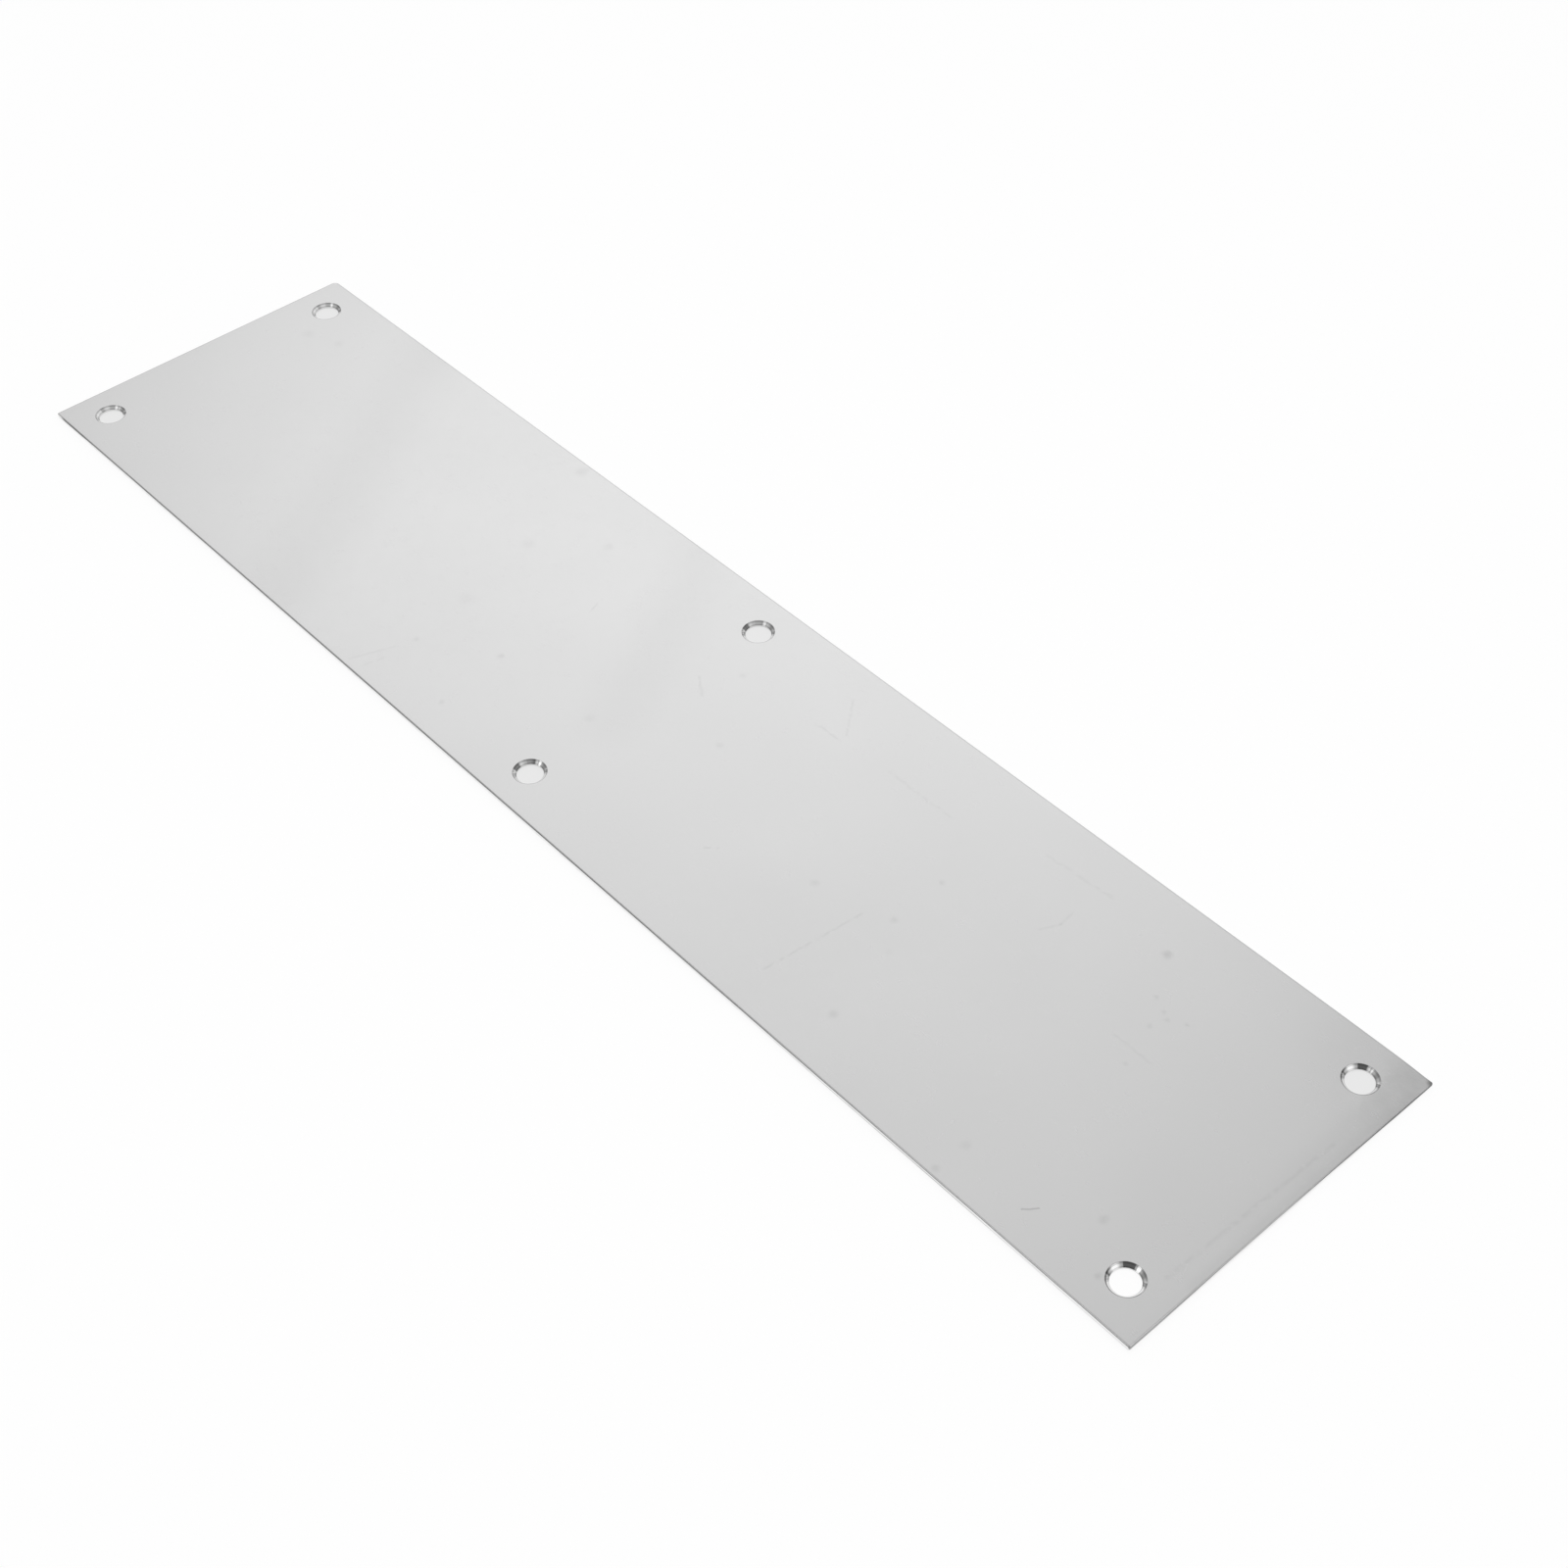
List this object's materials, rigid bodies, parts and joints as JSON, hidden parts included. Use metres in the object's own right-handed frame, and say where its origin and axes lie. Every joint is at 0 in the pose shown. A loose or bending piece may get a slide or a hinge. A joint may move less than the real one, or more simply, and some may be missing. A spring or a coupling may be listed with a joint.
{
  "type": "door protector plate",
  "caption": "Thin flat satin metal sheet with countersunk screw holes along both long edges, screwed flat to a door to guard its face against knocks and wear.",
  "frame": {"origin": "middle of the plate's back, the face that lies against the door", "axes": "+X along the plate's length, +Y across its width, +Z out of the face in view"},
  "size_m": [0.3, 0.07, 0.001],
  "materials": {
    "plate": "satin, with bright cut countersinks, sheared edges and a few fine scratches and specks"
  },
  "bodies": {
    "root": {"protector_plate": "plate"}
  },
  "joints": []
}
